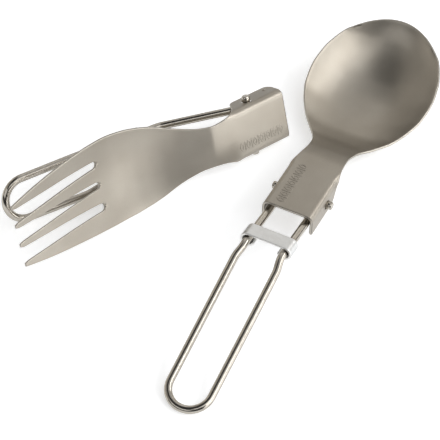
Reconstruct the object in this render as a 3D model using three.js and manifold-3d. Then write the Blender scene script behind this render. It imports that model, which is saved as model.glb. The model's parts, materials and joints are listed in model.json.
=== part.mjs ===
// Folding camp cutlery: a spoon with its handle out and a fork with its handle folded behind the head.
// Each utensil is a stamped sheet head, a wire loop handle hinged in the head's channel, and a sliding
// sheet collar that locks the handle. Millimetres, +Z up, spoon lying along +Y.
//
// Every piece is first drawn in its utensil's own frame: x along the head from the pivot towards the bowl
// or tines, y to the left, z out of the channel plate's face. The pivot axis is the y axis.
import * as THREE from 'three';
import { mergeVertices } from 'three/addons/utils/BufferGeometryUtils.js';
import Module from 'manifold-3d';

// Sheet and channel
const SHEET = 0.85;          // sheet thickness
const CHANNEL_WIDTH = 17.9;  // outside width over the two flanges
const BEND_RADIUS = 2.1;     // outside radius of the plate-to-flange bend
const PLATE_HEIGHT = 4.45;   // plate face above the pivot axis
const FLANGE_DEPTH = 8.1;    // plate face to flange edge
const CHANNEL_END = -12.2;   // pivot to the open end of the channel
const PIVOT_HOLE = 1.75;     // radius of the pivot holes

// Wire handle
const WIRE = 1.35;           // wire radius
const LEG_SPACING = 12.9;    // between the leg centre lines inside the channel
const LOOP_SPACING = 14.5;   // between the leg centre lines where they are widest
const LOOP_END_SPACING = 14.2;
const PIN_STICK_OUT = 1.8;   // pin end beyond the flange's outer face
const PIN_BEND = 1.8;        // centre-line radius where a leg turns into its pin
const LEG_BEND_AT = 30.5;    // pivot to the middle of the leg's bend
const LEG_BEND_LENGTH = 3.4;
const LEG_BEND = 22.4;       // degrees
const LEG_LENGTH = 82.1;     // pivot to the start of the loop's end, along the wire

// Collar
const COLLAR_SHEET = 0.8;
const COLLAR_LENGTH = 5.6;
const COLLAR_INSIDE = 1.75;  // inside radius of the curled ends
const COLLAR_CURL = 250;     // degrees of curl round each leg

// Poses: pivot position, heading of the head in plan, tilt of its length and roll about its length
const SPOON = { pivot: [0, 0, 9.51], heading: 90, pitch: -4.45, roll: 0, handle: 175.2, jog: 30.5, collar: 28.7 };
const FORK = { pivot: [-28.6, 19.5, 10.73], heading: 245.8, pitch: 7.6, roll: -65, handle: 328.8, jog: 55, collar: 43.6 };

// Head outlines as [distance from the pivot, value]. Half width is measured along the sheet, so in the
// channel it includes the bend and the flange.
const FLAT_HALF = CHANNEL_WIDTH / 2 - BEND_RADIUS;
const BEND_HALF = FLAT_HALF + BEND_RADIUS * Math.PI / 2;
const CHANNEL_HALF = BEND_HALF + FLANGE_DEPTH - BEND_RADIUS;
// Where the sheet starts to turn down across the head: the turned edge fades out along the neck.
const TURNED_FROM = [[8, FLAT_HALF], [20, 9], [30, 40]];

const SPOON_HEAD = {
  start: CHANNEL_END,
  end: 81.9,
  half: [[-13, CHANNEL_HALF], [3.2, CHANNEL_HALF], [4.6, 15.7], [7.6, 11], [10, 9], [14.5, 7.9], [20, 7.5],
    [24, 7.9], [28, 9.2], [32, 12], [37, 15.8], [43, 19.3], [49, 21.4], [56, 22.1], [63, 21.2], [68, 19.4],
    [71.5, 17.6], [74, 15.4]],
  floor: [[-13, PLATE_HEIGHT], [8, PLATE_HEIGHT], [14, 4], [20, 2.7], [26, 0.3], [33, -3], [40, -4.7], [48, -5.1],
    [56, -4.5], [64, -2.6], [71, 0.9], [77, 5.8], [80.5, 10.3], [81.9, 12.9]],
  rim: [[-13, PLATE_HEIGHT], [8, PLATE_HEIGHT], [14, 4], [20, 2.7], [26, 0.6], [31, -0.7], [36, -0.5], [43, 1.3],
    [55, 4.8], [68, 8.7], [81.9, 12.9]],
  nose: [[36, 0], [60, 1.6], [74, 4.6], [81.9, 7.9]],
  dish: 2.2,
  corner: 1,
  stations: 30,
};

const FORK_HEAD = {
  start: CHANNEL_END,
  end: 94.7,
  half: [[-13, CHANNEL_HALF], [3.2, CHANNEL_HALF], [4.6, 15.7], [7.6, 11], [10, 9.1], [14.5, 7.5], [17.5, 7.2],
    [21.5, 7.5], [26, 8.7], [31, 10.6], [36, 12.7], [41, 14.1], [47, 15.1], [54, 15.5], [60, 15.3], [70, 14.5],
    [82, 13], [92, 11.2], [94.7, 10.6]],
  floor: [[-13, PLATE_HEIGHT], [8, PLATE_HEIGHT], [13, 3.85], [17.5, 3], [20, 1.9], [25, -0.75], [30, -3.35],
    [35, -5.55], [40, -7.2], [45.6, -8.5], [52, -9.1], [57.5, -8.7], [70, -6.6], [82, -3.9], [94.7, -1.1]],
  rim: [[-13, PLATE_HEIGHT], [8, PLATE_HEIGHT], [13, 3.85], [17.5, 3], [20, 1.9], [25, -0.6], [30, -2.9],
    [35, -4.6], [40, -5.8], [45.6, -6.8], [52, -7.3], [57.5, -6.9], [70, -5.2], [82, -3], [94.7, -0.6]],
  nose: [[0, 0], [94.7, 0]],
  dish: 2,
  corner: 2.5,
  stations: 26,
};

// Slots between the four tines
const SLOT_ROOT = 57.6;      // pivot to the rounded root
const SLOT_ROOT_WIDTH = 2.6;
const SLOT_TIP_WIDTH = 4.9;
const SLOT_ROOT_PITCH = 7.6;
const SLOT_TIP_PITCH = 6.7;

const TITANIUM = { color: 0x9b968c, roughness: 0.42, metalness: 1 };
const POLISHED = { color: 0xb5b2ac, roughness: 0.22, metalness: 1 };
const BRUSHED = { color: 0x9d9b97, roughness: 0.5, metalness: 1 };

const radians = THREE.MathUtils.degToRad;
const wasm = await Module();
wasm.setup();

// Smooth curve through [x, value] rows, level where the rows turn, so it never overshoots them.
function follow(rows, x) {
  const last = rows.length - 1;
  if (x <= rows[0][0]) return rows[0][1];
  if (x >= rows[last][0]) return rows[last][1];
  const rise = (i) => (rows[i + 1][1] - rows[i][1]) / (rows[i + 1][0] - rows[i][0]);
  const slope = (i) => {
    if (i === 0) return rise(0);
    if (i === last) return rise(last - 1);
    const before = rise(i - 1);
    const after = rise(i);
    return before * after <= 0 ? 0 : 2 * before * after / (before + after);
  };
  let i = 0;
  while (rows[i + 1][0] < x) i += 1;
  const width = rows[i + 1][0] - rows[i][0];
  const t = (x - rows[i][0]) / width;
  const bump = t * (1 - t) * width;
  return rows[i][1] * (1 + 2 * t) * (1 - t) ** 2 + rows[i + 1][1] * t * t * (3 - 2 * t)
    + bump * ((1 - t) * slope(i) - t * slope(i + 1));
}

// How far the flange's edge is cut back by its rounded corner at the channel's open end.
function cornerInset(head, s) {
  const left = head.corner - Math.min(s - head.start, head.corner);
  return head.corner - Math.sqrt(head.corner ** 2 - left ** 2);
}

// A point on a head's upper face: s runs along the centre line, f from -1 to 1 across the sheet.
function headPoint(head, s, f) {
  const x = s - follow(head.nose, s) * f * f;
  let across = Math.abs(f) * follow(head.half, s - follow(head.nose, s));
  if (across > BEND_HALF && s < head.start + head.corner) {
    across -= cornerInset(head, s) * (across - BEND_HALF) / (CHANNEL_HALF - BEND_HALF);
  }
  const depth = follow(head.rim, s) - follow(head.floor, s);
  const z = follow(head.rim, x) - depth * (1 - Math.abs(f) ** head.dish);
  const side = Math.sign(f);
  const flat = follow(TURNED_FROM, s);
  const past = across - flat;
  if (past <= 0) return new THREE.Vector3(x, side * across, z);
  const turn = Math.min(past / BEND_RADIUS, Math.PI / 2);
  const drop = past - BEND_RADIUS * turn;
  const y = side * (flat + BEND_RADIUS * Math.sin(turn));
  return new THREE.Vector3(x, y, z - BEND_RADIUS * (1 - Math.cos(turn)) - drop);
}

function headNormal(head, s, f) {
  const step = 0.01;
  const s0 = Math.max(s - step, head.start);
  const s1 = Math.min(s + step, head.end);
  const f0 = Math.max(f - step / 10, -1);
  const f1 = Math.min(f + step / 10, 1);
  const along = headPoint(head, s1, f).sub(headPoint(head, s0, f));
  const across = headPoint(head, s, f1).sub(headPoint(head, s, f0));
  return along.cross(across).normalize();
}

// Closed sheet: the upper face, the same face one sheet thickness below, and the edge all round.
function sheetGeometry(head) {
  const half = CHANNEL_HALF;
  const bend = FLAT_HALF / half;
  const edge = BEND_HALF / half;
  const third = (edge - bend) / 3;
  const flange = (1 - edge) / 3;
  const right = [1, 1 - flange, edge + flange, edge, edge - third, bend + third, bend, bend * 2 / 3, bend / 3];
  const columns = [...right.map((f) => -f), 0, ...right.reverse()];
  const rounding = [0.08, 0.25, 0.5, 0.75, 1].map((t) => head.start + t * head.corner);
  const stations = [head.start, ...rounding, -6, 0, 3.2, 4, 5, 6.2, 7.6, 9, 10.5, 13, 15.5, 17.5, 19, 20.5];
  for (let i = 1; i <= head.stations; i += 1) {
    const t = i / head.stations;
    stations.push(20.5 + (head.end - 20.5) * Math.sin(t * Math.PI / 2) ** 0.9);
  }
  const wide = columns.length;
  const points = [];
  for (const side of [0, SHEET]) {
    for (const s of stations) {
      for (const f of columns) {
        points.push(headPoint(head, s, f).addScaledVector(headNormal(head, s, f), -side));
      }
    }
  }
  const under = stations.length * wide;
  const index = [];
  const quad = (a, b, c, d) => index.push(a, b, c, a, c, d);
  for (let i = 0; i + 1 < stations.length; i += 1) {
    for (let j = 0; j + 1 < wide; j += 1) {
      const a = i * wide + j;
      quad(a, a + wide, a + wide + 1, a + 1);
      quad(under + a, under + a + 1, under + a + wide + 1, under + a + wide);
    }
    const left = i * wide + wide - 1;
    const rightEdge = i * wide;
    quad(left, left + wide, under + left + wide, under + left);
    quad(rightEdge, under + rightEdge, under + rightEdge + wide, rightEdge + wide);
  }
  for (let j = 0; j + 1 < wide; j += 1) {
    const tip = (stations.length - 1) * wide + j;
    quad(j, j + 1, under + j + 1, under + j);
    quad(tip, under + tip, under + tip + 1, tip + 1);
  }
  const geometry = new THREE.BufferGeometry();
  geometry.setAttribute('position', new THREE.Float32BufferAttribute(points.flatMap((p) => p.toArray()), 3));
  geometry.setIndex(index);
  return geometry;
}

function toManifold(geometry) {
  const bare = geometry.clone();
  bare.deleteAttribute('normal');
  bare.deleteAttribute('uv');
  const merged = mergeVertices(bare, 1e-4);
  return new wasm.Manifold(new wasm.Mesh({
    numProp: 3,
    vertProperties: new Float32Array(merged.attributes.position.array),
    triVerts: new Uint32Array(merged.index.array),
  }));
}

function fromManifold(solid) {
  const mesh = solid.getMesh();
  const geometry = new THREE.BufferGeometry();
  geometry.setAttribute('position', new THREE.BufferAttribute(mesh.vertProperties, 3));
  geometry.setIndex(new THREE.BufferAttribute(mesh.triVerts, 1));
  return geometry;
}

function cut(geometry, tools) {
  let solid = toManifold(geometry);
  for (const tool of tools) solid = solid.subtract(toManifold(tool));
  return fromManifold(solid);
}

function pivotHoleTool() {
  return new THREE.CylinderGeometry(PIVOT_HOLE, PIVOT_HOLE, CHANNEL_WIDTH + 4, 32);
}

// One tapered slot with a round root, cut straight through the head and out past the tips.
function slotTool(side) {
  const past = 4;
  const rootY = side * SLOT_ROOT_PITCH;
  const tipY = side * SLOT_TIP_PITCH;
  const radius = SLOT_ROOT_WIDTH / 2;
  const outline = new THREE.Shape();
  outline.absarc(SLOT_ROOT + radius, rootY, radius, Math.PI / 2, 3 * Math.PI / 2, false);
  outline.lineTo(FORK_HEAD.end - 2.5, tipY - SLOT_TIP_WIDTH / 2);
  outline.lineTo(FORK_HEAD.end + past, tipY - SLOT_TIP_WIDTH / 2 - 1);
  outline.lineTo(FORK_HEAD.end + past, tipY + SLOT_TIP_WIDTH / 2 + 1);
  outline.lineTo(FORK_HEAD.end - 2.5, tipY + SLOT_TIP_WIDTH / 2);
  const tool = new THREE.ExtrudeGeometry(outline, { depth: 30, bevelEnabled: false, curveSegments: 10 });
  return tool.translate(0, 0, -20);
}

// Centre line of a leg in the x-z plane: position and direction at a distance along the wire.
function legPoint(distance, startAngle) {
  const bendStart = LEG_BEND_AT - LEG_BEND_LENGTH / 2;
  const straight = Math.min(distance, bendStart);
  const start = radians(startAngle);
  let x = Math.cos(start) * straight;
  let z = Math.sin(start) * straight;
  let angle = start;
  const steps = 40;
  const rest = Math.max(distance - bendStart, 0);
  for (let i = 0; i < steps; i += 1) {
    const along = (i + 0.5) * rest / steps;
    angle = start + radians(LEG_BEND) * Math.min(along / LEG_BEND_LENGTH, 1);
    x += Math.cos(angle) * rest / steps;
    z += Math.sin(angle) * rest / steps;
  }
  return { x, z, angle };
}

function halfSpacing(distance, jog) {
  const rows = [[0, LEG_SPACING], [jog, LEG_SPACING], [jog + 6, LOOP_SPACING], [LEG_LENGTH, LOOP_END_SPACING]];
  return follow(rows, distance) / 2;
}

// Half of the wire's centre line, from the pin end through the leg to the loop's far end.
function halfWire(pose) {
  const points = [];
  const add = (distance, y) => {
    const leg = legPoint(distance, pose.handle);
    points.push(new THREE.Vector3(leg.x, y, leg.z));
  };
  add(0, CHANNEL_WIDTH / 2 + PIN_STICK_OUT);
  const corner = 6;
  for (let i = 0; i <= corner; i += 1) {
    const turn = i / corner * Math.PI / 2;
    add(PIN_BEND * (1 - Math.cos(turn)), LEG_SPACING / 2 + PIN_BEND * (1 - Math.sin(turn)));
  }
  const bendStart = LEG_BEND_AT - LEG_BEND_LENGTH / 2;
  const stops = [14, bendStart, pose.jog, LEG_LENGTH - 12, LEG_LENGTH];
  for (let i = 1; i <= 5; i += 1) stops.push(bendStart + i * LEG_BEND_LENGTH / 5, pose.jog + i * 1.2);
  stops.sort((a, b) => a - b);
  for (const stop of stops) add(stop, halfSpacing(stop, pose.jog));
  const loop = 10;
  for (let i = 1; i <= loop; i += 1) {
    const turn = i / loop * Math.PI / 2;
    add(LEG_LENGTH + LOOP_END_SPACING / 2 * Math.sin(turn), LOOP_END_SPACING / 2 * Math.cos(turn));
  }
  return points;
}

// A curve through given points, sampled exactly at them.
class PointCurve extends THREE.Curve {
  constructor(points) {
    super();
    this.points = points;
  }

  getPoint(t, target = new THREE.Vector3()) {
    const place = Math.min(Math.max(t, 0), 1) * (this.points.length - 1);
    const i = Math.min(Math.floor(place), this.points.length - 2);
    return target.lerpVectors(this.points[i], this.points[i + 1], place - i);
  }

  getPointAt(u, target) {
    return this.getPoint(u, target);
  }

  getTangentAt(u, target) {
    return this.getTangent(u, target);
  }
}

function wireGeometry(pose) {
  const half = halfWire(pose);
  const other = half.slice(0, -1).reverse().map((p) => new THREE.Vector3(p.x, -p.y, p.z));
  const path = new PointCurve([...half, ...other]);
  const round = new THREE.Shape().absarc(0, 0, WIRE, 0, 2 * Math.PI, false);
  return new THREE.ExtrudeGeometry(round, { steps: path.points.length - 1, extrudePath: path, curveSegments: 14 });
}

// The collar: a flat plate over both legs with its ends curled round them and back underneath.
function collarGeometry(pose) {
  const outside = COLLAR_INSIDE + COLLAR_SHEET;
  const centre = LEG_SPACING / 2;
  const end = 90 - COLLAR_CURL;
  const arc = (radius, from, to, side) => {
    const points = [];
    const count = 16;
    for (let i = 0; i <= count; i += 1) {
      const angle = radians(from + (to - from) * i / count);
      points.push(new THREE.Vector2(side * (centre + radius * Math.cos(angle)), radius * Math.sin(angle)));
    }
    return points;
  };
  const section = new THREE.Shape([
    ...arc(outside, 90, end, 1),
    ...arc(COLLAR_INSIDE, end, 90, 1),
    ...arc(COLLAR_INSIDE, 90, end, -1),
    ...arc(outside, end, 90, -1),
  ]);
  const geometry = new THREE.ExtrudeGeometry(section, { depth: COLLAR_LENGTH, bevelEnabled: false });
  const place = legPoint(pose.collar, pose.handle);
  const near = legPoint(pose.collar - COLLAR_LENGTH, pose.handle);
  const back = new THREE.Vector3(near.x - place.x, 0, near.z - place.z).normalize();
  const left = new THREE.Vector3(0, 1, 0);
  const up = back.clone().cross(left);
  const frame = new THREE.Matrix4().makeBasis(left, up, back).setPosition(place.x, 0, place.z);
  return geometry.applyMatrix4(frame);
}

function poseMatrix(pose) {
  const turn = new THREE.Euler(radians(pose.roll), -radians(pose.pitch), radians(pose.heading), 'ZYX');
  return new THREE.Matrix4().makeRotationFromEuler(turn).setPosition(...pose.pivot);
}

const group = new THREE.Group();

function addPiece(name, geometry, pose, look) {
  const mesh = new THREE.Mesh(geometry.applyMatrix4(poseMatrix(pose)), new THREE.MeshStandardMaterial(look));
  mesh.name = name;
  group.add(mesh);
}

const slots = [-1, 0, 1].map(slotTool);
addPiece('spoon_head', cut(sheetGeometry(SPOON_HEAD), [pivotHoleTool()]), SPOON, TITANIUM);
addPiece('spoon_handle_wire', wireGeometry(SPOON), SPOON, POLISHED);
addPiece('spoon_lock_collar', collarGeometry(SPOON), SPOON, BRUSHED);
addPiece('fork_head', cut(sheetGeometry(FORK_HEAD), [pivotHoleTool(), ...slots]), FORK, TITANIUM);
addPiece('fork_handle_wire', wireGeometry(FORK), FORK, POLISHED);
addPiece('fork_lock_collar', collarGeometry(FORK), FORK, BRUSHED);

// Stand the set on z = 0, centred on the origin in plan.
const box = new THREE.Box3().setFromObject(group);
const centre = box.getCenter(new THREE.Vector3());
for (const mesh of group.children) mesh.geometry.translate(-centre.x, -centre.y, -box.min.z);

export default group;
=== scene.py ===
"""Folding camp spoon and fork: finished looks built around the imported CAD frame.

Sizes are in millimetres and angles in degrees, in each utensil's own frame: x along the head from the
pivot, y to the left, z out of the channel's plate. pose_matrix turns them into metres in the CAD frame.
"""
import json
import math

import bpy
import numpy as np
from mathutils import Matrix, Vector


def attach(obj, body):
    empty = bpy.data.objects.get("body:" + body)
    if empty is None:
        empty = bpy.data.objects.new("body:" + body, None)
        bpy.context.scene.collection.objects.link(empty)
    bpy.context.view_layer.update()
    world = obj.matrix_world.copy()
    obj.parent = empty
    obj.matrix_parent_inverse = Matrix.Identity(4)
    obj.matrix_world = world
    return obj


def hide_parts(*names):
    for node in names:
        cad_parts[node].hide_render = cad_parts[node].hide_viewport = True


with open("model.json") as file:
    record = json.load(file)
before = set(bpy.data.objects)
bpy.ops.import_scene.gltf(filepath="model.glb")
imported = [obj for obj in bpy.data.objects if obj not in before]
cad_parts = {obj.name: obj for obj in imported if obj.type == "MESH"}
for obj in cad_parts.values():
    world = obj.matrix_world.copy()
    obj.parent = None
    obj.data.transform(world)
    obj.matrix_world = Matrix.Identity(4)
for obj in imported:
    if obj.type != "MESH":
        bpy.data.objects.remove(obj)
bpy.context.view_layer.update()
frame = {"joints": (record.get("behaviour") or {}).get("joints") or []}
scene = bpy.context.scene

# ------------------------------------------------------------------ sizes, as in the CAD source
SHEET, CHANNEL_WIDTH, BEND_RADIUS = 0.85, 17.9, 2.1
PLATE_HEIGHT, FLANGE_DEPTH, CHANNEL_END, PIVOT_HOLE = 4.45, 8.1, -12.2, 1.75
WIRE, LEG_SPACING, LOOP_SPACING, LOOP_END_SPACING = 1.35, 12.9, 14.5, 14.2
PIN_STICK_OUT, PIN_BEND = 1.8, 1.8
LEG_BEND_AT, LEG_BEND_LENGTH, LEG_BEND, LEG_LENGTH = 30.5, 3.4, 22.4, 82.1
COLLAR_SHEET, COLLAR_LENGTH, COLLAR_INSIDE, COLLAR_CURL = 0.8, 5.6, 1.75, 250
FLAT_HALF = CHANNEL_WIDTH / 2 - BEND_RADIUS
BEND_HALF = FLAT_HALF + BEND_RADIUS * math.pi / 2
CHANNEL_HALF = BEND_HALF + FLANGE_DEPTH - BEND_RADIUS
TURNED_FROM = [[8, FLAT_HALF], [20, 9], [30, 40]]

SPOON = dict(joint="spoon_handle_fold", heading=90, pitch=-4.45, roll=0,
             handle=175.2, jog=30.5, collar=28.7)
FORK = dict(joint="fork_handle_fold", heading=245.8, pitch=7.6, roll=-65,
            handle=328.8, jog=55, collar=43.6)

SPOON_HEAD = dict(
    end=81.9, dish=2.2, corner=1,
    half=[[-13, CHANNEL_HALF], [3.2, CHANNEL_HALF], [4.6, 15.7], [7.6, 11], [10, 9], [14.5, 7.9],
          [20, 7.5], [24, 7.9], [28, 9.2], [32, 12], [37, 15.8], [43, 19.3], [49, 21.4], [56, 22.1],
          [63, 21.2], [68, 19.4], [71.5, 17.6], [74, 15.4]],
    floor=[[-13, PLATE_HEIGHT], [8, PLATE_HEIGHT], [14, 4], [20, 2.7], [26, 0.3], [33, -3], [40, -4.7],
           [48, -5.1], [56, -4.5], [64, -2.6], [71, 0.9], [77, 5.8], [80.5, 10.3], [81.9, 12.9]],
    rim=[[-13, PLATE_HEIGHT], [8, PLATE_HEIGHT], [14, 4], [20, 2.7], [26, 0.6], [31, -0.7], [36, -0.5],
         [43, 1.3], [55, 4.8], [68, 8.7], [81.9, 12.9]],
    nose=[[36, 0], [60, 1.6], [74, 4.6], [81.9, 7.9]])

FORK_HEAD = dict(
    end=94.7, dish=2.0, corner=2.5,
    half=[[-13, CHANNEL_HALF], [3.2, CHANNEL_HALF], [4.6, 15.7], [7.6, 11], [10, 9.1], [14.5, 7.5],
          [17.5, 7.2], [21.5, 7.5], [26, 8.7], [31, 10.6], [36, 12.7], [41, 14.1], [47, 15.1],
          [54, 15.5], [60, 15.3], [70, 14.5], [82, 13], [92, 11.2], [94.7, 10.6]],
    floor=[[-13, PLATE_HEIGHT], [8, PLATE_HEIGHT], [13, 3.85], [17.5, 3], [20, 1.9], [25, -0.75],
           [30, -3.35], [35, -5.55], [40, -7.2], [45.6, -8.5], [52, -9.1], [57.5, -8.7], [70, -6.6],
           [82, -3.9], [94.7, -1.1]],
    rim=[[-13, PLATE_HEIGHT], [8, PLATE_HEIGHT], [13, 3.85], [17.5, 3], [20, 1.9], [25, -0.6],
         [30, -2.9], [35, -4.6], [40, -5.8], [45.6, -6.8], [52, -7.3], [57.5, -6.9], [70, -5.2],
         [82, -3], [94.7, -0.6]],
    nose=[[0, 0], [94.7, 0]])

SLOT_ROOT, SLOT_ROOT_WIDTH, SLOT_TIP_WIDTH = 57.6, 2.6, 4.9
SLOT_ROOT_PITCH, SLOT_TIP_PITCH = 7.6, 6.7
TIP_TAPER, TIP_FLARE, TIP_POWER = 2.4, 0.42, 2.5
LEG_FLARE_LENGTH = 6

METRES = 0.001
TINY = 1e-12
SHARPEST_MITRE, NEAR_EDGE, MARK_WEAR = 0.55, 0.6, 0.3

# ------------------------------------------------------------------ how fine the meshes are
EDGE_ROUND, COLLAR_EDGE_ROUND, EDGE_STEPS = 0.24, 0.2, 3
HOLE_BLOCK, HOLE_STEPS, HOLE_MIDDLE = 2.3, 6, 0.58
HOLE_FIRST, HOLE_LAST = 2, 8
FLAT_STEPS, BEND_STEPS, CORNER_STEPS = 12, 8, 7
CHANNEL_STEP, NECK_STEP, BOWL_STEP = 0.9, 0.42, 0.62
NECK_START, NECK_END = 2.8, 20
BLEND_START, BLEND_LENGTH = 14, 34
SLOT_MARGIN = 0.33
WIRE_SIDES, WIRE_CHAMFER, WIRE_STEP = 24, 0.22, 0.8
LEG_STEPS, PIN_STEPS, LOOP_STEPS = 60, 12, 24
CURL_STEPS, COLLAR_FLAT_STEPS, COLLAR_STEPS, COLLAR_MARGIN = 34, 16, 10, 0.3
MARK_SIDES, STUD_SIDES = 24, 28
SNAP = 0.01
GRAIN_RADIUS = 3


def follow(rows, x):
    """Smooth curve through [x, value] rows that never overshoots them."""
    last = len(rows) - 1
    if x <= rows[0][0]:
        return rows[0][1]
    if x >= rows[last][0]:
        return rows[last][1]

    def rise(i):
        return (rows[i + 1][1] - rows[i][1]) / (rows[i + 1][0] - rows[i][0])

    def slope(i):
        if i == 0:
            return rise(0)
        if i == last:
            return rise(last - 1)
        before, after = rise(i - 1), rise(i)
        return 0 if before * after <= 0 else 2 * before * after / (before + after)

    i = 0
    while rows[i + 1][0] < x:
        i += 1
    width = rows[i + 1][0] - rows[i][0]
    t = (x - rows[i][0]) / width
    bump = t * (1 - t) * width
    return (rows[i][1] * (1 + 2 * t) * (1 - t) ** 2 + rows[i + 1][1] * t * t * (3 - 2 * t)
            + bump * ((1 - t) * slope(i) - t * slope(i + 1)))


def head_point(head, s, f):
    """A point on a head's upper face: s along the centre line, f from -1 to 1 across the sheet."""
    nose = follow(head["nose"], s)
    x = s - nose * f * f
    across = abs(f) * follow(head["half"], s - nose)
    left = head["corner"] - (s - CHANNEL_END)
    if across > BEND_HALF and left > 0:
        inset = head["corner"] - math.sqrt(head["corner"] ** 2 - left ** 2)
        across -= inset * (across - BEND_HALF) / (CHANNEL_HALF - BEND_HALF)
    depth = follow(head["rim"], s) - follow(head["floor"], s)
    z = follow(head["rim"], x) - depth * (1 - abs(f) ** head["dish"])
    side = (f > 0) - (f < 0)
    flat = follow(TURNED_FROM, s)
    past = across - flat
    if past <= 0:
        return (x, side * across, z)
    turn = min(past / BEND_RADIUS, math.pi / 2)
    drop = past - BEND_RADIUS * turn
    y = side * (flat + BEND_RADIUS * math.sin(turn))
    return (x, y, z - BEND_RADIUS * (1 - math.cos(turn)) - drop)


def pose_matrix(pose):
    """Utensil frame in millimetres to CAD frame in metres, standing on the handle joint's place."""
    joint = next(j for j in frame["joints"] if j["name"] == pose["joint"])
    r, p, h = (math.radians(a) for a in (pose["roll"], -pose["pitch"], pose["heading"]))
    turn = Matrix.Rotation(h, 4, "Z") @ Matrix.Rotation(p, 4, "Y") @ Matrix.Rotation(r, 4, "X")
    return Matrix.Translation(joint["pos_m"]) @ turn @ Matrix.Scale(METRES, 4)


# ------------------------------------------------------------------ mesh helpers
def weld(points, faces, step=1e-4):
    """Merges points closer than step and drops faces that collapse."""
    keys, first, index = {}, [], []
    for p in points:
        key = tuple(int(round(c / step)) for c in p)
        if key not in keys:
            keys[key] = len(first)
            first.append(p)
        index.append(keys[key])
    kept = []
    for face in faces:
        ring = []
        for i in face:
            j = index[i]
            if not ring or ring[-1] != j:
                ring.append(j)
        if ring[0] == ring[-1]:
            ring.pop()
        if len(set(ring)) >= 3:
            kept.append(tuple(ring))
    return np.array(first, float), kept


def point_normals(points, faces):
    """Unit normals at the points, weighted by the area of the faces round them."""
    normals = np.zeros_like(points)
    for face in faces:
        p = points[list(face)]
        n = np.zeros(3)
        for k in range(1, len(face) - 1):
            n += np.cross(p[k] - p[0], p[k + 1] - p[0])
        for i in face:
            normals[i] += n
    return normals / np.maximum(np.linalg.norm(normals, axis=1, keepdims=True), TINY)


def thicken(points, faces, thickness, radius):
    """A closed sheet from its upper face, with every edge rounded.

    Returns its points, its faces and how near each point is to an edge, from 0 to 1.
    """
    normals = point_normals(points, faces)
    edges = {}
    for face in faces:
        for a, b in zip(face, face[1:] + face[:1]):
            edges[(a, b)] = True
    border = [e for e in edges if (e[1], e[0]) not in edges]
    follows = dict(border)
    before = {b: a for a, b in border}
    outward = {}
    for i in follows:
        parts = []
        for a, b in ((before[i], i), (i, follows[i])):
            out = np.cross(points[b] - points[a], normals[i])
            parts.append(out / max(np.linalg.norm(out), TINY))
        total = parts[0] + parts[1]
        total /= max(np.linalg.norm(total), TINY)
        outward[i] = total / max(float(total @ parts[0]), SHARPEST_MITRE)
    profile = []
    for k in range(1, EDGE_STEPS + 1):
        a = k / EDGE_STEPS * math.pi / 2
        profile.append((radius * (1 - math.sin(a)), radius * (1 - math.cos(a))))
    profile += [(inset, thickness - depth) for inset, depth in reversed(profile)]
    top = points.copy()
    for i, out in outward.items():
        top[i] = points[i] - out * radius
    under = top - normals * thickness
    count = len(points)
    near = [np.zeros(count), np.zeros(count)]
    rings = {i: [] for i in follows}
    extra, extra_near, place = [], [], 2 * count
    for i, out in outward.items():
        near[0][i] = near[1][i] = NEAR_EDGE
        for inset, depth in profile:
            extra.append(points[i] - out * inset - normals[i] * depth)
            extra_near.append(1.0)
            rings[i].append(place)
            place += 1
    solid = [tuple(f) for f in faces] + [tuple(count + i for i in reversed(f)) for f in faces]
    for a, b in border:
        left = [a, *rings[a], count + a]
        right = [b, *rings[b], count + b]
        for k in range(len(left) - 1):
            solid.append((right[k], left[k], left[k + 1], right[k + 1]))
    return np.vstack([top, under, np.array(extra)]), solid, np.concatenate([*near, np.array(extra_near)])


def make_object(name, points, faces, pose, near=None, grain=None):
    """Links a smooth mesh to the scene, with its grain coordinates and its edge wear as attributes."""
    matrix = pose_matrix(pose)
    mesh = bpy.data.meshes.new(name)
    rings = [tuple(int(i) for i in f) for f in faces]
    mesh.from_pydata([matrix @ Vector(p) for p in points], [], rings)
    mesh.validate()
    mesh.polygons.foreach_set("use_smooth", [True] * len(mesh.polygons))
    local = mesh.attributes.new("grain", "FLOAT_VECTOR", "POINT")
    source = points if grain is None else grain
    local.data.foreach_set("vector", np.asarray(source, np.float32).ravel())
    wear = mesh.attributes.new("wear", "FLOAT", "POINT")
    worn = np.zeros(len(points)) if near is None else near
    wear.data.foreach_set("value", worn.astype(np.float32))
    piece = bpy.data.objects.new(name, mesh)
    scene.collection.objects.link(piece)
    return piece


# ------------------------------------------------------------------ stamped heads
def channel_columns():
    """Half of the columns across the sheet, in millimetres along the channel's section, centre first."""
    hole = BEND_HALF + PLATE_HEIGHT - BEND_RADIUS
    flat = [FLAT_HALF * i / FLAT_STEPS for i in range(FLAT_STEPS + 1)]
    bend = [FLAT_HALF + (BEND_HALF - FLAT_HALF) * i / BEND_STEPS for i in range(1, BEND_STEPS)]
    block = [hole - HOLE_BLOCK + 2 * HOLE_BLOCK * i / HOLE_STEPS for i in range(HOLE_STEPS + 1)]
    return flat + bend + block + [(block[-1] + CHANNEL_HALF) / 2, CHANNEL_HALF]


COLUMNS = channel_columns()
STRIP = (len(COLUMNS) - 1) // 2


def quarter_steps(start, radius):
    """Stations along a quarter turn of the radius, closest together at its start."""
    return [start + radius * (1 - math.cos(i / CORNER_STEPS * math.pi / 2)) for i in range(CORNER_STEPS + 1)]


def stations(head, extra=()):
    """Stations along a head's centre line, from the channel's open end to the tip."""
    end = head["end"]
    rows = quarter_steps(CHANNEL_END, head["corner"])
    rows += list(np.arange(rows[-1] + CHANNEL_STEP, -HOLE_BLOCK - 0.5, CHANNEL_STEP))
    rows += [-HOLE_BLOCK + 2 * HOLE_BLOCK * i / HOLE_STEPS for i in range(HOLE_STEPS + 1)]
    rows += list(np.arange(NECK_START, NECK_END, NECK_STEP))
    rows += list(np.arange(NECK_END, end - 0.7, BOWL_STEP)) + [end - 0.5, end, *extra]
    return sorted(set(round(float(r), 4) for r in rows))


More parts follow.
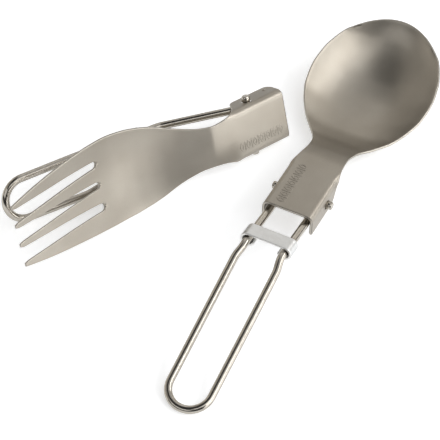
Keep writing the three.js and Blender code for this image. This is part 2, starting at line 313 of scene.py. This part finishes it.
def slot_edges(s):
    """Centre and half width of the outer slot at station s."""
    end = FORK_HEAD["end"]
    t = (s - SLOT_ROOT) / (end - SLOT_ROOT)
    centre = SLOT_ROOT_PITCH + (SLOT_TIP_PITCH - SLOT_ROOT_PITCH) * max(t, 0)
    radius = SLOT_ROOT_WIDTH / 2
    if s <= SLOT_ROOT:
        return centre, 0.0
    into = min((s - SLOT_ROOT) / radius, 1)
    width = radius * math.sqrt(max(1 - (1 - into) ** 2, 0))
    widening = SLOT_TIP_WIDTH / 2 - radius
    width += max(s - SLOT_ROOT - radius, 0) / (end - SLOT_ROOT - radius) * widening
    tip = max(s - (end - TIP_TAPER), 0) / TIP_TAPER
    return centre, width + TIP_FLARE * tip ** TIP_POWER


def spread(a, b, count, margin):
    """count + 1 values from a to b with the first and last steps equal to margin."""
    inner = [a + margin + (b - a - 2 * margin) * i / (count - 2) for i in range(count - 1)]
    return [a, *inner, b]


def column_values(head, s, forked):
    """Across-sheet positions at station s as four strips of values from -1 to 1."""
    half = follow(head["half"], s - follow(head["nose"], s))
    channel = [-c / CHANNEL_HALF for c in reversed(COLUMNS)] + [c / CHANNEL_HALF for c in COLUMNS[1:]]
    strips = [channel[k * STRIP:(k + 1) * STRIP + 1] for k in range(4)]
    if not forked:
        return strips
    centre, width = slot_edges(s)
    ends = [-half, -centre, 0.0, centre, half]
    blend = min(max((s - BLEND_START) / BLEND_LENGTH, 0), 1)
    blend = blend * blend * (3 - 2 * blend)
    out = []
    for k in range(4):
        a = ends[k] + (width if k > 0 else 0)
        b = ends[k + 1] - (width if k < 3 else 0)
        margin = min(SLOT_MARGIN, 0.3 * (b - a))
        values = [v / half for v in spread(a, b, STRIP, margin)]
        out.append([c * (1 - blend) + v * blend for c, v in zip(strips[k], values)])
    return out


def head_surface(head, forked):
    """Points and faces of a head's upper side, four strips wide, with slots between them for a fork."""
    extra = quarter_steps(SLOT_ROOT, SLOT_ROOT_WIDTH / 2) if forked else []
    rows = stations(head, extra)
    if forked:
        wanted = [round(e, 4) for e in extra]
        rows = [s for s in rows if s in wanted or not extra[0] - 0.45 < s < extra[-1] + 0.2]
    points, faces, index = [], [], []
    for s in rows:
        line = []
        for strip in column_values(head, s, forked):
            line.append([len(points) + k for k in range(len(strip))])
            points += [head_point(head, s, f) for f in strip]
        index.append(line)
    for i in range(len(rows) - 1):
        here, ahead = index[i], index[i + 1]
        in_hole = -HOLE_BLOCK - SNAP < rows[i] and rows[i + 1] < HOLE_BLOCK + SNAP
        for k in range(4):
            for j in range(STRIP):
                column = k * STRIP + j
                from_edge = min(column, 4 * STRIP - 1 - column)
                if in_hole and HOLE_FIRST <= from_edge < HOLE_LAST:
                    continue
                faces.append((here[k][j], ahead[k][j], ahead[k][j + 1], here[k][j + 1]))
    add_pivot_holes(head, rows, index, points, faces)
    return weld(points, faces)


def add_pivot_holes(head, rows, index, points, faces):
    """Round holes in both flanges, each joined to the square left open for it in the grid."""
    low = next(i for i, s in enumerate(rows) if s > -HOLE_BLOCK - SNAP)
    n = HOLE_STEPS
    for strip, first in ((0, HOLE_FIRST), (3, STRIP - HOLE_LAST)):
        grid = [[index[low + a][strip][first + b] for b in range(n + 1)] for a in range(n + 1)]
        ring = [grid[0][b] for b in range(n)] + [grid[a][n] for a in range(n)]
        ring += [grid[n][b] for b in range(n, 0, -1)] + [grid[a][0] for a in range(n, 0, -1)]
        inner = []
        for i in ring:
            x, y, z = points[i]
            size = math.hypot(x, z)
            inner.append(len(points))
            points.append((x / size * PIVOT_HOLE, y, z / size * PIVOT_HOLE))
        middle = []
        for i, j in zip(ring, inner):
            middle.append(len(points))
            points.append(tuple((1 - HOLE_MIDDLE) * a + HOLE_MIDDLE * b
                                for a, b in zip(points[i], points[j])))
        for a in range(len(ring)):
            b = (a + 1) % len(ring)
            for outer, within in ((ring, middle), (middle, inner)):
                faces.append((outer[b], outer[a], within[a], within[b]))


def make_head(name, head, pose, forked=False):
    """A stamped head with its neck and channel, one sheet of even thickness."""
    points, faces = head_surface(head, forked)
    solid, solid_faces, near = thicken(points, faces, SHEET, EDGE_ROUND)
    return make_object(name, solid, solid_faces, pose, near)


# ------------------------------------------------------------------ wire loops
def leg_point(distance, start_angle):
    """Place along a leg in the handle's plane, as x and z, a distance from the pivot."""
    start_of_bend = LEG_BEND_AT - LEG_BEND_LENGTH / 2
    start = math.radians(start_angle)
    straight = min(distance, start_of_bend)
    x, z = math.cos(start) * straight, math.sin(start) * straight
    rest = max(distance - start_of_bend, 0)
    for i in range(LEG_STEPS):
        along = (i + 0.5) * rest / LEG_STEPS
        angle = start + math.radians(LEG_BEND) * min(along / LEG_BEND_LENGTH, 1)
        x += math.cos(angle) * rest / LEG_STEPS
        z += math.sin(angle) * rest / LEG_STEPS
    return x, z


def half_spacing(distance, jog):
    """Half the distance between the legs, which widens at the jog beyond the collar."""
    rows = [[0, LEG_SPACING], [jog, LEG_SPACING], [jog + LEG_FLARE_LENGTH, LOOP_SPACING],
            [LEG_LENGTH, LOOP_END_SPACING]]
    return follow(rows, distance) / 2


def wire_line(pose):
    """Centre line of a handle's wire, from one pivot pin round the loop to the other."""
    points = []

    def add(distance, y):
        x, z = leg_point(distance, pose["handle"])
        points.append((x, y, z))

    tip = CHANNEL_WIDTH / 2 + PIN_STICK_OUT
    for y in (tip, tip - 1.2, tip - 2.4):
        add(0, y)
    for i in range(PIN_STEPS + 1):
        turn = i / PIN_STEPS * math.pi / 2
        add(PIN_BEND * (1 - math.cos(turn)), LEG_SPACING / 2 + PIN_BEND * (1 - math.sin(turn)))
    for distance in np.arange(3, LEG_LENGTH, WIRE_STEP):
        add(float(distance), half_spacing(float(distance), pose["jog"]))
    radius = LOOP_END_SPACING / 2
    for i in range(LOOP_STEPS + 1):
        turn = i / LOOP_STEPS * math.pi / 2
        add(LEG_LENGTH + radius * math.sin(turn), radius * math.cos(turn))
    other = [(x, -y, z) for x, y, z in reversed(points[:-1])]
    return np.array(points + other, float)


def tube(line, radius, sides=WIRE_SIDES, chamfer=WIRE_CHAMFER):
    """Round tube with chamfered flat ends.

    Returns its points, its faces and grain coordinates: the distance along and a place round the section.
    """
    steps = np.diff(line, axis=0)
    tangents = np.vstack([steps[:1], steps[:-1] + steps[1:], steps[-1:]])
    tangents /= np.linalg.norm(tangents, axis=1, keepdims=True)
    normal = np.cross(tangents[0], [0, 0, 1.0])
    points, grain = [], []
    travelled = np.concatenate([[0], np.cumsum(np.linalg.norm(steps, axis=1))])
    rings = []
    ends = {0: [(0, radius - 2 * chamfer), (0, radius - chamfer), (chamfer, radius)],
            len(line) - 1: [(-chamfer, radius), (0, radius - chamfer), (0, radius - 2 * chamfer)]}
    for i, (p, t) in enumerate(zip(line, tangents)):
        normal = normal - t * (normal @ t)
        normal /= np.linalg.norm(normal)
        across = np.cross(t, normal)
        for shift, size in ends.get(i, [(0, radius)]):
            ring = []
            for k in range(sides):
                a = 2 * math.pi * k / sides
                ring.append(len(points))
                around = math.cos(a) * normal + math.sin(a) * across
                points.append(p + t * shift + size * around)
                grain.append((travelled[i], GRAIN_RADIUS * math.cos(a), GRAIN_RADIUS * math.sin(a)))
            rings.append(ring)
    faces = []
    for a, b in zip(rings, rings[1:]):
        for k in range(sides):
            n = (k + 1) % sides
            faces.append((a[k], a[n], b[n], b[k]))
    for ring, p, flip in ((rings[0], line[0], False), (rings[-1], line[-1], True)):
        centre = len(points)
        points.append(p)
        grain.append((0, 0, 0))
        for k in range(sides):
            n = (k + 1) % sides
            faces.append((ring[k], ring[n], centre) if flip else (ring[n], ring[k], centre))
    return np.array(points), faces, np.array(grain)


def make_wire(name, pose):
    """A handle: one bent wire whose ends are the pivot pins."""
    points, faces, grain = tube(wire_line(pose), WIRE)
    return make_object(name, points, faces, pose, grain=grain)


# ------------------------------------------------------------------ collars
def make_collar(name, pose):
    """A flat strip with a curl round each leg, which slides along the wire."""
    outside = COLLAR_INSIDE + COLLAR_SHEET
    centre = LEG_SPACING / 2
    curl = [math.radians(90 - COLLAR_CURL * i / CURL_STEPS) for i in range(CURL_STEPS + 1)]
    right = [(centre + outside * math.cos(a), outside * math.sin(a)) for a in curl]
    flat = [(centre - 2 * centre * i / COLLAR_FLAT_STEPS, outside) for i in range(1, COLLAR_FLAT_STEPS)]
    left = [(-y, n) for y, n in right]
    section = [*reversed(right), *flat, *left]
    x1, z1 = leg_point(pose["collar"], pose["handle"])
    x0, z0 = leg_point(pose["collar"] - COLLAR_LENGTH, pose["handle"])
    back = Vector((x0 - x1, 0, z0 - z1)).normalized()
    up = back.cross(Vector((0, 1, 0)))
    along = spread(0, COLLAR_LENGTH, COLLAR_STEPS, COLLAR_MARGIN)
    points, faces = [], []
    for y, n in section:
        for w in along:
            points.append(tuple(Vector((x1, 0, z1)) + Vector((0, y, 0)) + up * n + back * w))
    wide = len(along)
    for a in range(len(section) - 1):
        for b in range(wide - 1):
            i = a * wide + b
            faces.append((i, i + wide, i + wide + 1, i + 1))
    points = np.array(points, float)
    solid, solid_faces, near = thicken(points, faces, COLLAR_SHEET, COLLAR_EDGE_ROUND)
    return make_object(name, solid, solid_faces, pose, near)


# ------------------------------------------------------------------ plain stamped marks and the stud
def join_rings(points, faces, loops, closed):
    """Joins rings of points in turn. A closed run meets its first ring again, an open one is capped."""
    rings = []
    for loop in loops:
        rings.append(list(range(len(points), len(points) + len(loop))))
        points.extend(loop)
    if closed:
        rings.append(rings[0])
    else:
        faces.append(tuple(reversed(rings[0])))
        faces.append(tuple(rings[-1]))
    for a, b in zip(rings, rings[1:]):
        for k in range(len(a)):
            n = (k + 1) % len(a)
            faces.append((a[k], a[n], b[n], b[k]))


LOZENGE_WIDTH, LOZENGE_POWER, BAR_HALF, BAR_POWER = 0.33, 1.25, 0.2, 6


def rounded_ring(centre, wide, high, power, z):
    """A ring round a centre: a lozenge for a power near 1, an ellipse at 2, nearly a box for a high one."""
    out = []
    for k in range(MARK_SIDES):
        a = 2 * math.pi * k / MARK_SIDES
        c, s = math.cos(a), math.sin(a)
        size = (abs(c) ** power + abs(s) ** power) ** (-1 / power)
        out.append((centre[0] + wide * size * c, centre[1] + high * size * s, z))
    return out


def make_marks(name, pose, lane, start=-10.5, end=9.5, height=3.3, count=7):
    """A row of plain stamped lozenges and bars in one lengthwise half of the plate, a little proud of it."""
    points, faces = [], []
    pitch = (end - start) / count
    foot, shoulder, top = (PLATE_HEIGHT + rise for rise in (-0.05, 0.05, 0.09))
    outline = ((0, foot), (0, shoulder), (0.08, top), (0.4, top), (0.48, shoulder), (0.48, foot))
    bar = ((0, foot), (0, shoulder), (0.07, top))
    for i in range(count):
        centre = (start + (i + 0.5) * pitch, lane)
        loops = [rounded_ring(centre, pitch * LOZENGE_WIDTH - inset, height / 2 - inset * 1.5,
                              LOZENGE_POWER, z) for inset, z in outline]
        join_rings(points, faces, loops, True)
    for i in range(1, count):
        centre = (start + i * pitch, lane)
        loops = [rounded_ring(centre, BAR_HALF - inset, height / 2 - inset, BAR_POWER, z)
                 for inset, z in bar]
        join_rings(points, faces, loops, False)
    return make_object(name, np.array(points), faces, pose, near=np.full(len(points), MARK_WEAR))


def make_stud(name, pose, x, z, radius, height):
    """A small round stud pressed out of the far flange."""
    outline = [(1.06, -0.05), (1.06, 0.0), (0.98, 0.1), (0.84, 0.5), (0.66, 0.82), (0.44, 0.95), (0.2, 1.0)]
    face = -CHANNEL_WIDTH / 2
    turns = [2 * math.pi * k / STUD_SIDES for k in range(STUD_SIDES)]
    loops = [[(x + radius * size * math.cos(a), face - height * rise, z + radius * size * math.sin(a))
              for a in turns] for size, rise in outline]
    points, faces = [], []
    join_rings(points, faces, loops, False)
    return make_object(name, np.array(points), faces, pose, near=np.full(len(points), MARK_WEAR))


# ------------------------------------------------------------------ materials
FINE_BUMP, COLLAR_BUMP = 0.00002, 0.00003


class Nodes:
    """A material and short ways to add nodes to it. Patterns follow the mesh's own grain attribute."""

    def __init__(self, name, metallic=1.0):
        self.material = bpy.data.materials.new(name)
        self.material.use_nodes = True
        self.tree = self.material.node_tree
        self.shader = next(n for n in self.tree.nodes if n.type == "BSDF_PRINCIPLED")
        self.shader.inputs["Metallic"].default_value = metallic

    def drive(self, socket, output):
        """Feeds one of the shader's own sockets."""
        self.link(output, self.shader.inputs[socket])

    def add(self, kind, **settings):
        node = self.tree.nodes.new("ShaderNode" + kind)
        for key, value in settings.items():
            setattr(node, key, value)
        return node

    def link(self, a, b):
        self.tree.links.new(a, b)

    def grain(self, stretch=(1, 1, 1)):
        source = self.add("Attribute", attribute_name="grain")
        mapping = self.add("Mapping")
        mapping.inputs["Scale"].default_value = stretch
        self.link(source.outputs["Vector"], mapping.inputs["Vector"])
        return mapping.outputs["Vector"]

    def wear(self):
        return self.add("Attribute", attribute_name="wear").outputs["Fac"]

    def noise(self, vector, scale, detail=3, roughness=0.5):
        node = self.add("TexNoise")
        node.inputs["Scale"].default_value = scale
        node.inputs["Detail"].default_value = detail
        node.inputs["Roughness"].default_value = roughness
        self.link(vector, node.inputs["Vector"])
        return node.outputs["Fac"]

    def ramp(self, value, stops):
        node = self.add("ValToRGB")
        while len(node.color_ramp.elements) < len(stops):
            node.color_ramp.elements.new(0.5)
        for element, (place, colour) in zip(node.color_ramp.elements, stops):
            element.position = place
            element.color = (*colour, 1)
        self.link(value, node.inputs["Fac"])
        return node.outputs["Color"]

    def tint(self, factor, base, colour):
        """The base output blended towards a plain colour."""
        node = self.add("Mix", data_type="RGBA")
        self.link(factor, node.inputs[0])
        self.link(base, node.inputs[6])
        node.inputs[7].default_value = (*colour, 1)
        return node.outputs[2]

    def span(self, value, low, high, out_low, out_high):
        node = self.add("MapRange")
        numbers = {"From Min": low, "From Max": high, "To Min": out_low, "To Max": out_high}
        for name, number in numbers.items():
            node.inputs[name].default_value = number
        self.link(value, node.inputs["Value"])
        return node.outputs["Result"]

    def combine(self, operation, a, b):
        node = self.add("Math", operation=operation)
        self.link(a, node.inputs[0])
        self.link(b, node.inputs[1])
        return node.outputs["Value"]

    def bump(self, height, strength, distance, under=None):
        node = self.add("Bump")
        node.inputs["Strength"].default_value = strength
        node.inputs["Distance"].default_value = distance
        self.link(height, node.inputs["Height"])
        if under is not None:
            self.link(under, node.inputs["Normal"])
        return node.outputs["Normal"]


def satin_titanium():
    """Bead-blasted sheet: warm grey, faintly clouded, with fine pits, drawing lines and rubbed edges."""
    n = Nodes("satin_titanium")
    wear = n.wear()
    clouds = n.noise(n.grain((0.06, 0.09, 0.09)), 1.0, 2)
    blast = n.noise(n.grain(), 9.0, 3, 0.6)
    draw = n.noise(n.grain((0.25, 5, 5)), 1.6, 3, 0.55)
    base = n.ramp(clouds, [(0.3, (0.362, 0.33, 0.282)), (0.7, (0.412, 0.38, 0.33))])
    base = n.tint(n.span(blast, 0.35, 0.65, 0.0, 0.4), base, (0.28, 0.256, 0.22))
    base = n.tint(n.span(wear, 0.5, 1.0, 0.0, 0.3), base, (0.5, 0.48, 0.44))
    n.drive("Base Color", base)
    rough = n.combine("ADD", n.span(blast, 0.3, 0.7, 0.36, 0.45), n.span(draw, 0.3, 0.7, -0.02, 0.04))
    rough = n.combine("SUBTRACT", rough, n.span(wear, 0.5, 1.0, 0.0, 0.08))
    n.drive("Roughness", rough)
    n.drive("Normal", n.bump(draw, 0.2, FINE_BUMP, n.bump(blast, 0.35, FINE_BUMP)))
    return n.material


def polished_wire():
    """Drawn wire: bright, with fine lines along its length."""
    n = Nodes("polished_wire")
    lines = n.noise(n.grain((0.06, 4, 4)), 2.0, 4, 0.6)
    spots = n.noise(n.grain((0.5, 0.5, 0.5)), 1.5, 2)
    base = n.ramp(spots, [(0.3, (0.38, 0.35, 0.305)), (0.7, (0.48, 0.45, 0.40))])
    n.drive("Base Color", base)
    n.drive("Roughness", n.span(lines, 0.3, 0.7, 0.1, 0.2))
    n.drive("Normal", n.bump(lines, 0.25, FINE_BUMP))
    return n.material


def brushed_collar():
    """Paler brushed strip, with lines across it and rubbed edges."""
    n = Nodes("brushed_collar")
    wear = n.wear()
    lines = n.noise(n.grain((6, 0.15, 0.5)), 1.6, 4, 0.6)
    spots = n.noise(n.grain((0.4, 0.4, 0.4)), 1.4, 2)
    base = n.ramp(lines, [(0.3, (0.64, 0.645, 0.64)), (0.7, (0.76, 0.765, 0.76))])
    base = n.tint(n.span(spots, 0.35, 0.65, 0.0, 0.25), base, (0.5, 0.49, 0.475))
    base = n.tint(n.span(wear, 0.5, 1.0, 0.0, 0.6), base, (0.72, 0.71, 0.69))
    n.drive("Base Color", base)
    n.drive("Roughness", n.span(lines, 0.3, 0.7, 0.3, 0.46))
    n.drive("Normal", n.bump(lines, 0.3, COLLAR_BUMP))
    return n.material


SATIN, POLISHED, BRUSHED = satin_titanium(), polished_wire(), brushed_collar()


def finish_piece(piece, body, material, slot, *nodes):
    """Gives a piece its material and the body it rides on, and hides any CAD nodes it stands for. The slot
    is not used.
    """
    piece.data.materials.append(material)
    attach(piece, body)
    if nodes:
        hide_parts(*nodes)


finish_piece(make_head("spoon_head_sheet", SPOON_HEAD, SPOON),
             "spoon_head", SATIN, "satin_sheet", "spoon_head")
finish_piece(make_wire("spoon_wire_loop", SPOON),
             "spoon_handle", POLISHED, "polished_wire", "spoon_handle_wire")
finish_piece(make_collar("spoon_sliding_collar", SPOON),
             "spoon_lock", BRUSHED, "brushed_collar", "spoon_lock_collar")
finish_piece(make_marks("spoon_stamped_row", SPOON, 3.9), "spoon_head", SATIN, "satin_sheet")
finish_piece(make_head("fork_head_sheet", FORK_HEAD, FORK, True),
             "fork_head", SATIN, "satin_sheet", "fork_head")
finish_piece(make_wire("fork_wire_loop", FORK),
             "fork_handle", POLISHED, "polished_wire", "fork_handle_wire")
finish_piece(make_collar("fork_sliding_collar", FORK),
             "fork_lock", BRUSHED, "brushed_collar", "fork_lock_collar")
finish_piece(make_marks("fork_stamped_row", FORK, 4.0), "fork_head", SATIN, "satin_sheet")
finish_piece(make_stud("fork_flange_stud", FORK, x=-9.1, z=-1.65, radius=0.6, height=0.32),
             "fork_head", SATIN, "satin_sheet")


# ------------------------------------------------------------------ floor, light and camera
CAMERA_AZIMUTH, CAMERA_ELEVATION = 26.63, 50.48
PIXELS, PIXELS_PER_MM, DISTANCE = 440, 3.02, 644.3
SENSOR, CLIP_START, CLIP_END = 36, 0.01, 20
PIVOT_IN_VIEW = Vector((27.11, 2.66, 9.46))
FLOOR_HALF, FLOOR_GLOW = 3.0, 0.45
LIGHT_DISTANCE, LIGHT_POWER = 1.6, 10
LIGHT_TARGET = Vector((0, 0, 0.01))
NEUTRAL, WARM = (1, 1, 1), (1, 0.96, 0.9)


def make_floor():
    """A plain pale floor that glows a little, so that it stays white."""
    mesh = bpy.data.meshes.new("floor")
    corners = [(x * FLOOR_HALF, y * FLOOR_HALF, 0) for x, y in ((-1, -1), (1, -1), (1, 1), (-1, 1))]
    mesh.from_pydata(corners, [], [(0, 1, 2, 3)])
    floor = bpy.data.objects.new("floor", mesh)
    scene.collection.objects.link(floor)
    material = bpy.data.materials.new("floor_white")
    material.use_nodes = True
    shader = next(n for n in material.node_tree.nodes if n.type == "BSDF_PRINCIPLED")
    shader.inputs["Base Color"].default_value = (0.92, 0.935, 0.955, 1)
    shader.inputs["Roughness"].default_value = 0.9
    shader.inputs["Emission Color"].default_value = (1, 1, 1, 1)
    shader.inputs["Emission Strength"].default_value = FLOOR_GLOW
    mesh.materials.append(material)


def soft_light(name, azimuth, elevation, wide, high, brightness, colour):
    """A soft box aimed at the set, its width and height in degrees as seen from there.

    Azimuth 0 is the camera's own and grows to its right.
    """
    a = math.radians(CAMERA_AZIMUTH + azimuth)
    e = math.radians(elevation)
    out = Vector((math.sin(a) * math.cos(e), -math.cos(a) * math.cos(e), math.sin(e)))
    data = bpy.data.lights.new(name, "AREA")
    data.shape = "RECTANGLE"
    data.size = 2 * LIGHT_DISTANCE * math.tan(math.radians(wide / 2)) * math.cos(e)
    data.size_y = 2 * LIGHT_DISTANCE * math.tan(math.radians(high / 2))
    data.energy = LIGHT_POWER * brightness * data.size * data.size_y
    data.color = colour
    light = bpy.data.objects.new(name, data)
    light.location = LIGHT_TARGET + out * LIGHT_DISTANCE
    light.rotation_mode = "QUATERNION"
    light.rotation_quaternion = out.to_track_quat("Z", "Y")
    light.visible_camera = False
    scene.collection.objects.link(light)


def make_world():
    world = bpy.data.worlds.new("studio")
    scene.world = world
    world.use_nodes = True
    background = world.node_tree.nodes["Background"]
    background.inputs["Color"].default_value = (0.96, 0.98, 1.0, 1)
    background.inputs["Strength"].default_value = 0.05


def make_camera():
    """The main view: the spoon's pivot stands at PIVOT_IN_VIEW, in millimetres from the aimed point."""
    joint = next(j for j in frame["joints"] if j["name"] == SPOON["joint"])
    turn = Matrix.Rotation(math.radians(CAMERA_AZIMUTH), 4, "Z")
    target = Vector(joint["pos_m"]) - turn @ PIVOT_IN_VIEW * METRES
    e = math.radians(CAMERA_ELEVATION)
    back = turn @ Vector((0, -math.cos(e), math.sin(e)))
    data = bpy.data.cameras.new("camera")
    data.sensor_width = SENSOR
    data.lens = PIXELS_PER_MM * DISTANCE / PIXELS * SENSOR
    data.clip_start, data.clip_end = CLIP_START, CLIP_END
    camera = bpy.data.objects.new("camera", data)
    camera.rotation_mode = "QUATERNION"
    camera.location = target + back * DISTANCE * METRES
    camera.rotation_quaternion = back.to_track_quat("Z", "Y")
    scene.collection.objects.link(camera)
    scene.camera = camera


make_floor()
for settings in (
        ("low_right", 67, 7.5, 67, 15, 1.1, NEUTRAL),
        ("right", 77, 37, 78, 18, 1.3, NEUTRAL),
        ("right_back", 124, 28, 42, 28, 0.28, WARM),
        ("low_left_back", 247, 8, 67, 16, 0.34, WARM),
        ("back", 186, 26, 84, 24, 0.23, WARM),
        ("back_high", 185, 48, 100, 22, 0.08, WARM),
        ("left_front", 318, 34, 60, 26, 0.33, NEUTRAL),
        ("left", 254, 36, 70, 36, 0.13, WARM),
        ("top_front", 30, 58, 80, 22, 0.42, NEUTRAL),
        ("top", 110, 66, 150, 40, 0.18, NEUTRAL)):
    soft_light(*settings)
make_world()
make_camera()
scene.view_settings.view_transform = "Standard"
